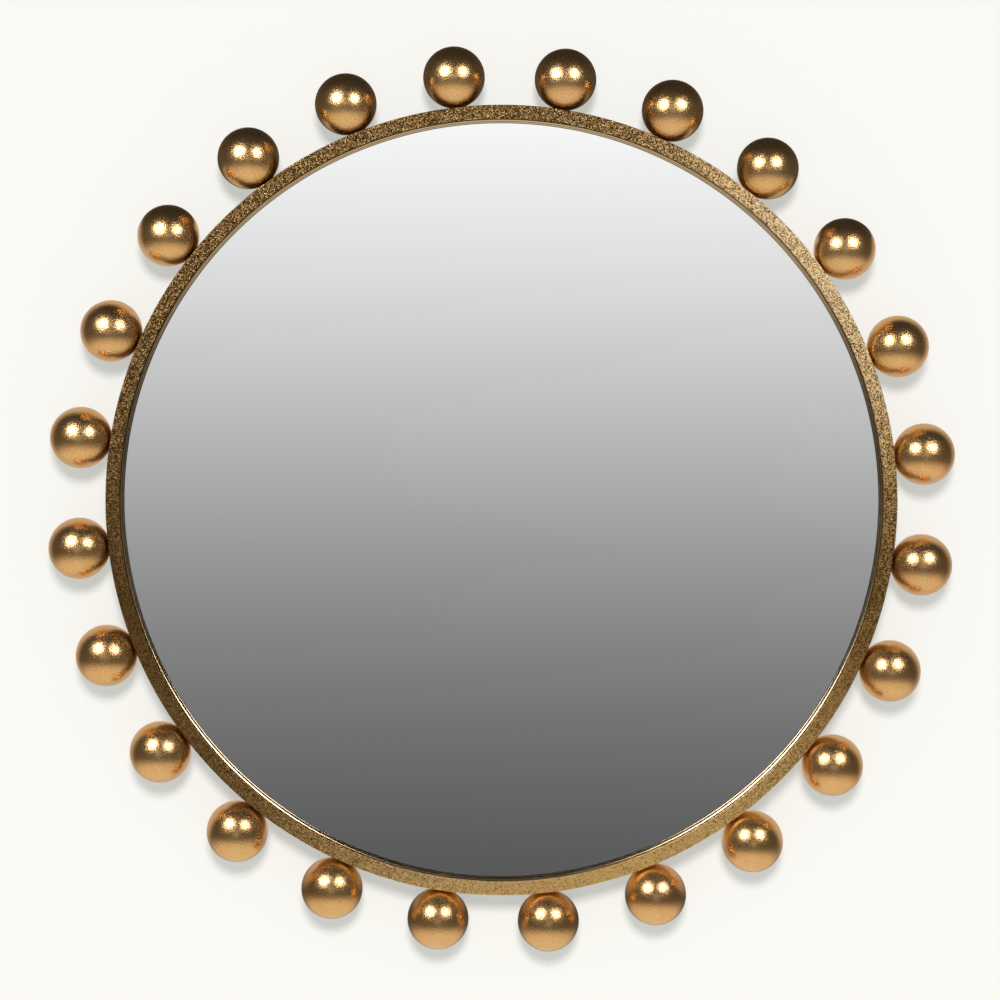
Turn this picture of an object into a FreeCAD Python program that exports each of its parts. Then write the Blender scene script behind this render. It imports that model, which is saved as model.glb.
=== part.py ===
import FreeCAD, Part
import os
import Sketcher
from FreeCAD import Placement, Rotation, Vector

# Girandole mirror: a flat round mirror in a rolled steel ring, with a row of gilded turned balls
# standing round the ring's outer wall. Millimetres. The front faces -Y and up is +Z. The origin is
# the centre of the ball circle, so the ring's depth and the balls' depth are both centred on Y = 0.

SIZES = {
    # the rolled steel ring: a flat face with a wall behind its outer edge
    "ring_diameter": 770,
    "ring_depth": 24,
    "wall_thickness": 2.5,
    "flange_thickness": 3,
    "face_width": 13.5,
    "outer_edge_radius": 1.2,
    "inner_edge_radius": 0.8,
    # the bead strip, seen between the face and the glass
    "bead_width": 4,
    "bead_gap": 0.25,
    "bead_setback": 0.3,
    "bead_roundness": 1.8,
    "groove_depth": 2.2,
    "foot_thickness": 3.5,
    "foot_width": 9,
    # the glass, its tape and packers, and the board that closes the back
    "glass_setback": 9.5,
    "glass_thickness": 4,
    "glass_edge_gap": 6,
    "arris": 0.5,
    "tape_thickness": 0.8,
    "tape_inset": 0.6,
    "board_thickness": 6,
    "packer_count": 8,
    "packer_length": 20,
    "packer_end_gap": 0.5,
    "tab_count": 8,
    "tab_width": 18,
    "tab_thickness": 1.2,
    "tab_reach": 16,
    "tab_end_gap": 0.5,
    # the balls and the screws that hold them
    "ball_diameter": 60,
    "ball_count": 24,
    "ball_seat_diameter": 8,
    "ball_pilot_depth": 18,
    "ball_screw_diameter": 4,
    "ball_screw_grip": 16,
    "ball_screw_point": 3,
    "ball_screw_head_diameter": 8,
    "ball_screw_head_height": 2.6,
    "ball_screw_head_chamfer": 0.8,
    "wall_hole_play": 0.25,
    "thread_play": 0.05,
    "seat_play": 0.05,
    # the two strap hangers on the board, each with a free D-ring
    "hanger_spacing": 440,
    "hanger_height": 140,
    "strap_width": 12,
    "strap_length": 34,
    "strap_thickness": 1.5,
    "strap_end_radius": 4,
    "wire_diameter": 3,
    "wire_play": 0.3,
    "bow_radius": 10,
    "bow_corner_radius": 3,
    "strap_screw_diameter": 3.5,
    "strap_screw_head_diameter": 6.6,
    "strap_screw_length": 6.2,
    "strap_screw_point": 1.5,
    "strap_screw_spacing": 14,
    "strap_screw_first": 13,
    "strap_hole_play": 0.2,
}

doc = FreeCAD.newDocument("girandole_mirror")
sheet = doc.addObject("Spreadsheet::Sheet", "Sizes")
for row, (alias, value) in enumerate(SIZES.items(), start=1):
    sheet.set(f"A{row}", alias)
    sheet.set(f"B{row}", str(value))
    sheet.setAlias(f"B{row}", alias)
doc.recompute()

# Places that several pieces share, each an expression of the sheet's sizes.
# Planes across the depth, from the front of the ring to its back:
FACE = "(-Sizes.ring_depth / 2)"
FLANGE_BACK = f"({FACE} + Sizes.flange_thickness)"
BEAD_CREST = f"({FLANGE_BACK} + Sizes.bead_setback)"
FOOT_BACK = f"({FLANGE_BACK} + Sizes.foot_thickness)"
GLASS_FRONT = f"({FACE} + Sizes.glass_setback)"
BEAD_BACK = f"({GLASS_FRONT} - Sizes.tape_thickness)"
GLASS_BACK = f"({GLASS_FRONT} + Sizes.glass_thickness)"
BOARD_BACK = f"({GLASS_BACK} + Sizes.board_thickness)"
TAB_BACK = f"({BOARD_BACK} + Sizes.tab_thickness)"
RING_BACK = "(Sizes.ring_depth / 2)"
# Radii, from the outside of the ring to the inside:
RING_R = "(Sizes.ring_diameter / 2)"
WALL_R = f"({RING_R} - Sizes.wall_thickness)"
PANE_R = f"({WALL_R} - Sizes.glass_edge_gap)"
FACE_R = f"({RING_R} - Sizes.face_width)"
BEAD_OUTER_R = f"({FACE_R} - Sizes.bead_gap)"
BEAD_INNER_R = f"({BEAD_OUTER_R} - Sizes.bead_width)"
# The ball stands on a small flat, so its centre is a little nearer to the ring than its radius:
BALL_R = "(Sizes.ball_diameter / 2)"
SEAT_R = "(Sizes.ball_seat_diameter / 2)"
BALL_CIRCLE_R = f"({RING_R} + sqrt({BALL_R}^2 - {SEAT_R}^2))"
BALL_PITCH = "(360 / Sizes.ball_count)"


def value(expression):
    """The number that an expression of the sheet's sizes comes to."""
    return float(sheet.evalExpression(expression.replace("Sizes.", "")))


def new_body(label):
    """A body for one piece, which may be a group of like solids."""
    body = doc.addObject("PartDesign::Body", label)
    body.Label = label
    body.AllowCompound = True
    return body


def new_sketch(body, role, name, lift=None):
    """A sketch on one of the body's own origin planes, lifted along that plane's normal."""
    sketch = body.newObject("Sketcher::SketchObject", name)
    plane = [f for f in body.Origin.OriginFeatures if f.Role == role][0]
    sketch.AttachmentSupport = [(plane, "")]
    sketch.MapMode = "FlatFace"
    if lift:
        sketch.setExpression("AttachmentOffset.Base.z", lift)
    return sketch


def bind(sketch, kind, geometry, expression):
    """One dimension of the sketch, held by an expression of the sheet's sizes."""
    index = sketch.addConstraint(Sketcher.Constraint(kind, *geometry, value(expression)))
    sketch.setExpression(f"Constraints[{index}]", expression)


def bind_point(sketch, edge, end, x, y):
    """Both coordinates of one end of an edge, from the sketch's origin."""
    bind(sketch, "DistanceX", (-1, 1, edge, end), x)
    bind(sketch, "DistanceY", (-1, 1, edge, end), y)


def outline(body, role, name, corners, lift=None):
    """A closed outline of straight edges, with both coordinates of each corner bound."""
    sketch = new_sketch(body, role, name, lift)
    points = [Vector(value(x), value(y), 0) for x, y in corners]
    last = len(points) - 1
    for i, start in enumerate(points):
        sketch.addGeometry(Part.LineSegment(start, points[(i + 1) % len(points)]), False)
    for i, (x, y) in enumerate(corners):
        sketch.addConstraint(Sketcher.Constraint("Coincident", i - 1 if i else last, 2, i, 1))
        bind_point(sketch, i, 1, x, y)
    return sketch


def turned(body, name, sketch, axis="V_Axis", angle=None):
    """The sketch turned about one of its own axes: all the way round, or by an angle either side."""
    solid = body.newObject("PartDesign::Revolution", name)
    solid.Profile = sketch
    solid.ReferenceAxis = (sketch, [axis])
    solid.Angle = 360
    if angle:
        solid.Midplane = True
        solid.setExpression("Angle", angle)
    return solid


def round_the_axis(body, name, feature, sketch, count):
    """Copies of a feature spaced evenly about the mirror's axis, which is the sketch's vertical."""
    pattern = body.newObject("PartDesign::PolarPattern", name)
    pattern.Originals = [feature]
    pattern.Axis = (sketch, ["V_Axis"])
    pattern.Angle = 360
    pattern.setExpression("Occurrences", count)
    body.Tip = pattern
    return pattern


def turn_body(body, angle):
    """Turn a body about the mirror's axis, from +X towards +Z."""
    body.Placement = Placement(Vector(), Rotation(Vector(0, -1, 0), 1))
    body.setExpression("Placement.Rotation.Angle", angle)


def round_edges(body, name, feature, edges, radius):
    """A fillet on the edges of a feature that pass a test."""
    doc.recompute()
    fillet = body.newObject("PartDesign::Fillet", name)
    fillet.Base = (feature, edges)
    fillet.setExpression("Radius", radius)
    body.Tip = fillet
    return fillet


def ring_edges(feature, radius, depth):
    """Names of the circular edges of a radius, in a plane across the depth."""
    doc.recompute()
    names = []
    for number, edge in enumerate(feature.Shape.Edges, start=1):
        circle = edge.Curve
        if not isinstance(circle, Part.Circle):
            continue
        if abs(circle.Radius - value(radius)) < 0.01 and abs(circle.Center.y - value(depth)) < 0.01:
            names.append(f"Edge{number}")
    return names


# Frame ring: a steel angle rolled to a circle. Its face shows, and its wall carries the balls on
# the outside, with a hole through the wall for each ball's screw.
frame_ring = new_body("frame_ring")
section = outline(frame_ring, "XY_Plane", "ring_section", [
    (FACE_R, FACE),
    (RING_R, FACE),
    (RING_R, RING_BACK),
    (WALL_R, RING_BACK),
    (WALL_R, FLANGE_BACK),
    (FACE_R, FLANGE_BACK),
])
ring = turned(frame_ring, "ring_turned", section)
outer = round_edges(
    frame_ring, "outer_edge", ring, ring_edges(ring, RING_R, FACE), "Sizes.outer_edge_radius"
)
inner = round_edges(
    frame_ring, "inner_edge", outer, ring_edges(outer, FACE_R, FACE), "Sizes.inner_edge_radius"
)
hole_sketch = new_sketch(frame_ring, "YZ_Plane", "wall_hole_outline")
hole_sketch.addGeometry(Part.Circle(Vector(), Vector(0, 0, 1), 2), False)
hole_sketch.addConstraint(Sketcher.Constraint("Coincident", 0, 3, -1, 1))
bind(hole_sketch, "Radius", (0,), "Sizes.ball_screw_diameter / 2 + Sizes.wall_hole_play")
wall_hole = frame_ring.newObject("PartDesign::Pocket", "wall_hole")
wall_hole.Profile = hole_sketch
wall_hole.Reversed = True
wall_hole.setExpression("Length", f"{RING_R} + {BALL_R}")
round_the_axis(frame_ring, "wall_holes", wall_hole, section, "Sizes.ball_count")
turn_body(frame_ring, f"{BALL_PITCH} / 2")

# Bead strip: a rolled strip behind the face, with a foot against the back of the face and a
# round-nosed leg that stands inside the opening and reaches back to the glass. A fine groove
# parts the nose from the face's inner edge.
GROOVE_BOTTOM = f"({BEAD_CREST} + Sizes.groove_depth)"
bead_strip = new_body("bead_strip")
section = outline(bead_strip, "XY_Plane", "bead_section", [
    (BEAD_INNER_R, BEAD_CREST),
    (BEAD_OUTER_R, BEAD_CREST),
    (BEAD_OUTER_R, GROOVE_BOTTOM),
    (FACE_R, GROOVE_BOTTOM),
    (FACE_R, FLANGE_BACK),
    (f"{FACE_R} + Sizes.foot_width", FLANGE_BACK),
    (f"{FACE_R} + Sizes.foot_width", FOOT_BACK),
    (BEAD_OUTER_R, FOOT_BACK),
    (BEAD_OUTER_R, BEAD_BACK),
    (BEAD_INNER_R, BEAD_BACK),
])
bead = turned(bead_strip, "bead_turned", section)
round_edges(
    bead_strip,
    "nose",
    bead,
    ring_edges(bead, BEAD_INNER_R, BEAD_CREST) + ring_edges(bead, BEAD_OUTER_R, BEAD_CREST),
    "Sizes.bead_roundness",
)

# Glazing tape: a thin foam tape between the bead strip's back and the glass.
glazing_tape = new_body("glazing_tape")
section = outline(glazing_tape, "XY_Plane", "tape_section", [
    (f"{BEAD_INNER_R} + Sizes.tape_inset", BEAD_BACK),
    (BEAD_OUTER_R, BEAD_BACK),
    (BEAD_OUTER_R, GLASS_FRONT),
    (f"{BEAD_INNER_R} + Sizes.tape_inset", GLASS_FRONT),
])
turned(glazing_tape, "tape_turned", section)

# Mirror glass: a float-glass disc silvered on its back, with a small ground arris on each edge.
mirror_glass = new_body("mirror_glass")
section = outline(mirror_glass, "XY_Plane", "glass_section", [
    ("0", GLASS_FRONT),
    (f"{PANE_R} - Sizes.arris", GLASS_FRONT),
    (PANE_R, f"{GLASS_FRONT} + Sizes.arris"),
    (PANE_R, f"{GLASS_BACK} - Sizes.arris"),
    (f"{PANE_R} - Sizes.arris", GLASS_BACK),
    ("0", GLASS_BACK),
])
turned(mirror_glass, "glass_turned", section)

# Backboard: a fibreboard disc behind the glass, with pilot holes for the hangers' screws.
STRAP_GRIP = "(Sizes.strap_screw_length - Sizes.strap_thickness)"
backboard = new_body("backboard")
section = outline(backboard, "XY_Plane", "board_section", [
    ("0", GLASS_BACK),
    (PANE_R, GLASS_BACK),
    (PANE_R, f"{BOARD_BACK} - Sizes.arris"),
    (f"{PANE_R} - Sizes.arris", BOARD_BACK),
    ("0", BOARD_BACK),
])
board = turned(backboard, "board_turned", section)
pilot_sketch = new_sketch(backboard, "XZ_Plane", "pilot_outline", f"-{BOARD_BACK}")
for side in (-1, 1):
    for row in (0, 1):
        x = f"{side} * Sizes.hanger_spacing / 2"
        z = f"Sizes.hanger_height - Sizes.strap_screw_first - {row} * Sizes.strap_screw_spacing"
        edge = pilot_sketch.addGeometry(
            Part.Circle(Vector(value(x), value(z), 0), Vector(0, 0, 1), 2), False
        )
        bind_point(pilot_sketch, edge, 3, x, z)
        bind(pilot_sketch, "Radius", (edge,), "Sizes.strap_screw_diameter / 2 + Sizes.thread_play")
pilots = backboard.newObject("PartDesign::Pocket", "pilot_holes")
pilots.Profile = pilot_sketch
pilots.Reversed = True
pilots.setExpression("Length", f"{STRAP_GRIP} + Sizes.thread_play")

# Edge packers: rubber blocks that centre the glass and the board inside the ring's wall.
edge_packers = new_body("edge_packers")
section = outline(edge_packers, "XY_Plane", "packer_section", [
    (PANE_R, f"{GLASS_FRONT} + Sizes.packer_end_gap"),
    (WALL_R, f"{GLASS_FRONT} + Sizes.packer_end_gap"),
    (WALL_R, f"{BOARD_BACK} - Sizes.packer_end_gap"),
    (PANE_R, f"{BOARD_BACK} - Sizes.packer_end_gap"),
])
packer = turned(
    edge_packers, "packer", section, angle=f"Sizes.packer_length / {WALL_R} * 180 / pi"
)
round_the_axis(edge_packers, "packers", packer, section, "Sizes.packer_count")
turn_body(edge_packers, BALL_PITCH)

# Retaining tabs: bent steel strips welded inside the wall, folded in over the board.
retaining_tabs = new_body("retaining_tabs")
section = outline(retaining_tabs, "XY_Plane", "tab_section", [
    (f"{WALL_R} - Sizes.tab_reach", BOARD_BACK),
    (WALL_R, BOARD_BACK),
    (WALL_R, f"{RING_BACK} - Sizes.tab_end_gap"),
    (f"{WALL_R} - Sizes.tab_thickness", f"{RING_BACK} - Sizes.tab_end_gap"),
    (f"{WALL_R} - Sizes.tab_thickness", TAB_BACK),
    (f"{WALL_R} - Sizes.tab_reach", TAB_BACK),
])
tab = turned(retaining_tabs, "tab", section, angle=f"Sizes.tab_width / {WALL_R} * 180 / pi")
round_the_axis(retaining_tabs, "tabs", tab, section, "Sizes.tab_count")

# Balls: turned wooden balls, each with a small flat where it meets the ring's wall and a pilot
# hole for its screw. The first lies on +X, and the pattern sets half a pitch each side of it.
balls = new_body("balls")
sketch = new_sketch(balls, "XY_Plane", "ball_section")
centre, radius = value(BALL_CIRCLE_R), value(BALL_R)
seat, pilot = value(SEAT_R), value("Sizes.ball_screw_diameter / 2 + Sizes.thread_play")
flat, bottom = value(RING_R), value(f"{RING_R} + Sizes.ball_pilot_depth")
ball_arc = Part.Arc(
    Vector(centre + radius, 0, 0), Vector(centre, radius, 0), Vector(flat, seat, 0)
)
sketch.addGeometry(ball_arc, False)
corners = [(flat, seat), (flat, pilot), (bottom, pilot), (bottom, 0), (centre + radius, 0)]
for start, end in zip(corners, corners[1:]):
    sketch.addGeometry(Part.LineSegment(Vector(*start, 0), Vector(*end, 0)), False)
for edge in range(4):
    sketch.addConstraint(Sketcher.Constraint("Coincident", edge, 2, edge + 1, 1))
sketch.addConstraint(Sketcher.Constraint("Coincident", 4, 2, 0, 1))
sketch.addConstraint(Sketcher.Constraint("PointOnObject", 0, 3, -1))
sketch.addConstraint(Sketcher.Constraint("PointOnObject", 0, 1, -1))
sketch.addConstraint(Sketcher.Constraint("Horizontal", 2))
sketch.addConstraint(Sketcher.Constraint("Vertical", 3))
sketch.addConstraint(Sketcher.Constraint("Horizontal", 4))
bind(sketch, "DistanceX", (-1, 1, 0, 3), BALL_CIRCLE_R)
bind(sketch, "Radius", (0,), BALL_R)
bind(sketch, "DistanceY", (-1, 1, 0, 2), SEAT_R)
bind_point(sketch, 1, 2, RING_R, "Sizes.ball_screw_diameter / 2 + Sizes.thread_play")
bind(sketch, "DistanceX", (-1, 1, 2, 2), f"{RING_R} + Sizes.ball_pilot_depth")
ball = turned(balls, "ball", sketch, axis="H_Axis")
round_the_axis(balls, "ball_row", ball, sketch, "Sizes.ball_count")
turn_body(balls, f"{BALL_PITCH} / 2")

# Ball screws: pan-headed wood screws, driven outwards through the wall into the balls.
HEAD_SEAT = f"({WALL_R} - Sizes.seat_play)"
HEAD_TOP = f"({HEAD_SEAT} - Sizes.ball_screw_head_height)"
HEAD_R = "(Sizes.ball_screw_head_diameter / 2)"
SHANK_R = "(Sizes.ball_screw_diameter / 2)"
TIP = f"({RING_R} + Sizes.ball_screw_grip)"
ball_screws = new_body("ball_screws")
section = outline(ball_screws, "XY_Plane", "ball_screw_section", [
    (HEAD_TOP, "0"),
    (HEAD_TOP, f"{HEAD_R} - Sizes.ball_screw_head_chamfer"),
    (f"{HEAD_TOP} + Sizes.ball_screw_head_chamfer", HEAD_R),
    (HEAD_SEAT, HEAD_R),
    (HEAD_SEAT, SHANK_R),
    (f"{TIP} - Sizes.ball_screw_point", SHANK_R),
    (TIP, "0"),
])
screw = turned(ball_screws, "ball_screw", section, axis="H_Axis")
round_the_axis(ball_screws, "ball_screw_row", screw, section, "Sizes.ball_count")
turn_body(ball_screws, f"{BALL_PITCH} / 2")

# Hanger straps: a steel strip screwed to the board, its top end curled into an eye for the D-ring.
# Each strap and ring is drawn about its hinge line, which lies on the eye's axis.
WIRE_R = "(Sizes.wire_diameter / 2)"
EYE_INNER_R = f"({WIRE_R} + Sizes.wire_play)"
EYE_OUTER_R = f"({EYE_INNER_R} + Sizes.strap_thickness)"
STRAP_FRONT = f"(-{EYE_OUTER_R})"
STRAP_BACK = f"(-{EYE_INNER_R})"


def place_hanger(body, side):
    """Put a hanger piece's hinge line at its height, on its side, clear of the board."""
    body.setExpression("Placement.Base.x", f"{side} * Sizes.hanger_spacing / 2")
    body.setExpression("Placement.Base.y", f"{BOARD_BACK} + {EYE_OUTER_R}")
    body.setExpression("Placement.Base.z", "Sizes.hanger_height")


def hanger_strap(label, side):
    """A strip with a curled eye at its top and two countersunk holes below the eye."""
    body = new_body(label)
    sketch = new_sketch(body, "YZ_Plane", f"{label}_profile")
    inner_r, outer_r = value(EYE_INNER_R), value(EYE_OUTER_R)
    length = value("Sizes.strap_length")
    for eye_r in (outer_r, inner_r):
        curl = Part.Arc(Vector(0, -eye_r, 0), Vector(0, eye_r, 0), Vector(-eye_r, 0, 0))
        sketch.addGeometry(curl, False)
    path = [(-outer_r, 0), (-outer_r, -length), (-inner_r, -length), (-inner_r, 0)]
    for start, end in zip(path, path[1:]):
        sketch.addGeometry(Part.LineSegment(Vector(*start, 0), Vector(*end, 0)), False)
    cap = Part.LineSegment(Vector(0, -inner_r, 0), Vector(0, -outer_r, 0))
    sketch.addGeometry(cap, False)
    joined = [(0, 2, 2, 1), (2, 2, 3, 1), (3, 2, 4, 1), (4, 2, 1, 2), (1, 1, 5, 1), (5, 2, 0, 1)]
    for ends in joined:
        sketch.addConstraint(Sketcher.Constraint("Coincident", *ends))
    for curl, radius in ((0, EYE_OUTER_R), (1, EYE_INNER_R)):
        sketch.addConstraint(Sketcher.Constraint("Coincident", curl, 3, -1, 1))
        sketch.addConstraint(Sketcher.Constraint("PointOnObject", curl, 1, -2))
        sketch.addConstraint(Sketcher.Constraint("PointOnObject", curl, 2, -1))
        bind(sketch, "Radius", (curl,), radius)
    sketch.addConstraint(Sketcher.Constraint("Vertical", 2))
    sketch.addConstraint(Sketcher.Constraint("Vertical", 4))
    sketch.addConstraint(Sketcher.Constraint("Horizontal", 3))
    bind(sketch, "DistanceY", (-1, 1, 2, 2), "-Sizes.strap_length")
    strip = body.newObject("PartDesign::Pad", f"{label}_strip")
    strip.Profile = sketch
    strip.Midplane = True
    strip.setExpression("Length", "Sizes.strap_width")
    doc.recompute()
    holes = new_sketch(body, "XZ_Plane", f"{label}_hole_outline", f"-{STRAP_BACK}")
    for row in (0, 1):
        z = f"-Sizes.strap_screw_first - {row} * Sizes.strap_screw_spacing"
        edge = holes.addGeometry(
            Part.Circle(Vector(0, value(z), 0), Vector(0, 0, 1), 2), False
        )
        holes.addConstraint(Sketcher.Constraint("PointOnObject", edge, 3, -2))
        bind(holes, "DistanceY", (-1, 1, edge, 3), z)
        bind(holes, "Radius", (edge,), "Sizes.strap_screw_diameter / 2 + Sizes.strap_hole_play")
    doc.recompute()
    drilled = body.newObject("PartDesign::Hole", f"{label}_holes")
    drilled.Profile = holes
    drilled.Reversed = True
    drilled.DepthType = "ThroughAll"
    drilled.HoleCutType = "Countersink"
    drilled.HoleCutCustomValues = True
    drilled.HoleCutCountersinkAngle = 90
    drilled.setExpression("Diameter", "Sizes.strap_screw_diameter + 2 * Sizes.strap_hole_play")
    drilled.setExpression(
        "HoleCutDiameter", "Sizes.strap_screw_head_diameter + 2 * Sizes.strap_hole_play"
    )
    body.Tip = drilled
    doc.recompute()
    corners = []
    for number, edge in enumerate(drilled.Shape.Edges, start=1):
        box = edge.BoundBox
        if box.XLength < 0.01 and box.ZLength < 0.01 and abs(box.ZMin + length) < 0.01:
            corners.append(f"Edge{number}")
    round_edges(body, f"{label}_corners", drilled, corners, "Sizes.strap_end_radius")
    place_hanger(body, side)
    return body


def hanger_ring(label, side):
    """A D-ring of round wire: a straight bar in the eye, and a bow that hangs below it."""
    body = new_body(label)
    path = new_sketch(body, "XZ_Plane", f"{label}_path")
    bow, corner = value("Sizes.bow_radius"), value("Sizes.bow_corner_radius")
    bar = bow - corner
    axis = Vector(0, 0, 1)
    right = Part.Circle(Vector(bar, -corner, 0), axis, corner)
    lower = Part.Circle(Vector(0, -corner, 0), axis, bow)
    left = Part.Circle(Vector(-bar, -corner, 0), axis, corner)
    quarter = value("pi") / 2
    path.addGeometry(Part.LineSegment(Vector(0, 0, 0), Vector(bar, 0, 0)), False)
    path.addGeometry(Part.ArcOfCircle(right, 0, quarter), False)
    path.addGeometry(Part.ArcOfCircle(lower, 2 * quarter, 4 * quarter), False)
    path.addGeometry(Part.ArcOfCircle(left, quarter, 2 * quarter), False)
    path.addGeometry(Part.LineSegment(Vector(-bar, 0, 0), Vector(0, 0, 0)), False)
    for ends in [(0, 2, 1, 2), (1, 1, 2, 2), (2, 1, 3, 2), (3, 1, 4, 1), (4, 2, 0, 1)]:
        path.addConstraint(Sketcher.Constraint("Coincident", *ends))
    path.addConstraint(Sketcher.Constraint("Coincident", 0, 1, -1, 1))
    path.addConstraint(Sketcher.Constraint("Horizontal", 0))
    path.addConstraint(Sketcher.Constraint("Horizontal", 4))
    bind(path, "DistanceX", (-1, 1, 0, 2), "Sizes.bow_radius - Sizes.bow_corner_radius")
    bind(path, "DistanceX", (4, 1, -1, 1), "Sizes.bow_radius - Sizes.bow_corner_radius")
    bind_point(path, 1, 3, "Sizes.bow_radius - Sizes.bow_corner_radius", "-Sizes.bow_corner_radius")
    bind(path, "DistanceY", (-1, 1, 1, 1), "-Sizes.bow_corner_radius")
    bind_point(path, 2, 3, "0", "-Sizes.bow_corner_radius")
    bind(path, "DistanceY", (-1, 1, 2, 1), "-Sizes.bow_corner_radius")
    bind(path, "DistanceX", (3, 3, -1, 1), "Sizes.bow_radius - Sizes.bow_corner_radius")
    wire = new_sketch(body, "YZ_Plane", f"{label}_wire_outline")
    wire.addGeometry(Part.Circle(Vector(), axis, 1), False)
    wire.addConstraint(Sketcher.Constraint("Coincident", 0, 3, -1, 1))
    bind(wire, "Radius", (0,), WIRE_R)
    doc.recompute()
    bent = body.newObject("PartDesign::AdditivePipe", f"{label}_bent")
    bent.Profile = wire
    bent.Spine = path
    place_hanger(body, side)
    return body


straps = [hanger_strap("hanger_strap_left", -1), hanger_strap("hanger_strap_right", 1)]
rings = [hanger_ring("hanger_ring_left", -1), hanger_ring("hanger_ring_right", 1)]

# Hanger screws: four countersunk wood screws, two through each strap into the board.
SCREW_HEAD_R = "(Sizes.strap_screw_head_diameter / 2)"
SCREW_SHANK_R = "(Sizes.strap_screw_diameter / 2)"
SCREW_TOP = f"({BOARD_BACK} + Sizes.strap_thickness)"
SCREW_TIP = f"({SCREW_TOP} - Sizes.strap_screw_length)"
hanger_screws = new_body("hanger_screws")
section = outline(hanger_screws, "XY_Plane", "hanger_screw_section", [
    ("0", SCREW_TOP),
    (SCREW_HEAD_R, SCREW_TOP),
    (SCREW_SHANK_R, f"{SCREW_TOP} - {SCREW_HEAD_R} + {SCREW_SHANK_R}"),
    (SCREW_SHANK_R, f"{SCREW_TIP} + Sizes.strap_screw_point"),
    ("0", SCREW_TIP),
])
hanger_screw = turned(hanger_screws, "hanger_screw", section)
pairs = hanger_screws.newObject("PartDesign::LinearPattern", "hanger_screw_pairs")
pairs.Originals = [hanger_screw]
x_axis, z_axis = [
    [f for f in hanger_screws.Origin.OriginFeatures if f.Role == role][0]
    for role in ("X_Axis", "Z_Axis")
]
pairs.Direction = (x_axis, [""])
pairs.setExpression("Length", "Sizes.hanger_spacing")
pairs.Occurrences = 2
pairs.Direction2 = (z_axis, [""])
pairs.setExpression("Length2", "Sizes.strap_screw_spacing")
pairs.Occurrences2 = 2
hanger_screws.Tip = pairs
hanger_screws.setExpression("Placement.Base.x", "-Sizes.hanger_spacing / 2")
hanger_screws.setExpression(
    "Placement.Base.z",
    "Sizes.hanger_height - Sizes.strap_screw_first - Sizes.strap_screw_spacing",
)

doc.recompute()

# Every feature has to have built, each cut has to have removed something, and each piece has to be
# a valid closed solid or a group of them.
pieces = [
    frame_ring, bead_strip, glazing_tape, mirror_glass, backboard, edge_packers, retaining_tabs,
    balls, ball_screws, *straps, *rings, hanger_screws,
]
for item in doc.Objects:
    if "Invalid" in item.State or "Error" in item.State:
        raise RuntimeError(f"{item.Label} did not build: {item.State}")
    if item.TypeId in ("PartDesign::Pocket", "PartDesign::Hole"):
        if item.Shape.Volume > item.BaseFeature.Shape.Volume - 1:
            raise RuntimeError(f"{item.Label} cut nothing")
os.makedirs("parts", exist_ok=True)
for piece in pieces:
    shape = piece.Shape
    if shape.isNull() or not shape.isValid() or not shape.Solids:
        raise RuntimeError(f"{piece.Label} has no valid solid")
    box = shape.BoundBox
    print(
        f"{piece.Label}: {len(shape.Solids)} solids, {shape.Volume:.0f} mm3, "
        f"X {box.XMin:.2f}..{box.XMax:.2f}, Y {box.YMin:.2f}..{box.YMax:.2f}, "
        f"Z {box.ZMin:.2f}..{box.ZMax:.2f}"
    )
    shape.exportStep(f"parts/{piece.Label}.step")
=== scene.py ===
"""Girandole mirror: a round wall mirror in a gold steel ring with 24 gilded balls round its edge."""

import math

import bpy
import numpy as np
from mathutils import Matrix


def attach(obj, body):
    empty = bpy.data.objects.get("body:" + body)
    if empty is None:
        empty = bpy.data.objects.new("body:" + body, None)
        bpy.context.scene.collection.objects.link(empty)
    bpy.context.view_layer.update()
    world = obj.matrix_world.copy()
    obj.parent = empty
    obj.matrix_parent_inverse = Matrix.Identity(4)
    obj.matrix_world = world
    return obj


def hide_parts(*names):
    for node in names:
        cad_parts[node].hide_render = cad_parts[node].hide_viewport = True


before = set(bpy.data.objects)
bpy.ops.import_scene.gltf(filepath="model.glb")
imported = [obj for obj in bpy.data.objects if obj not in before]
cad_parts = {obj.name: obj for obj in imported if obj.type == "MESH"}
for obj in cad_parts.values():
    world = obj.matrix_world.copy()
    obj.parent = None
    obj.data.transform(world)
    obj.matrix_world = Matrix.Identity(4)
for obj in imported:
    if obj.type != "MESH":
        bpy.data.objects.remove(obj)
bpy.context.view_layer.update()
scene = bpy.context.scene
scene.view_settings.view_transform = "Standard"
scene.view_settings.look = "None"


# ---------------------------------------------------------------- camera
# The camera stands 2.6 m in front of the mirror and a little above its middle, tipped down and a
# touch askew. Its lens and shift put the ring's front circle where the photo has it.
EYE = np.array((0.0, -2.612, 0.180))
TILT, ROLL = math.radians(2.0), math.radians(1.13)
FRAME_PIXELS, PIXELS_PER_METRE, SENSOR_MM = 1000, 1029.0, 36
RING_FRONT = np.array((0.0, -0.012, 0.0))
RING_FRONT_IN_FRAME = (0.5014, 0.49790)
NEAREST, FARTHEST = 0.05, 60


def standing(x_axis, y_axis, z_axis, place):
    """The matrix of a thing that stands at a place with its own axes along three directions."""
    return Matrix(
        [[x_axis[i], y_axis[i], z_axis[i], place[i]] for i in range(3)] + [[0, 0, 0, 1]]
    )


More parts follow.
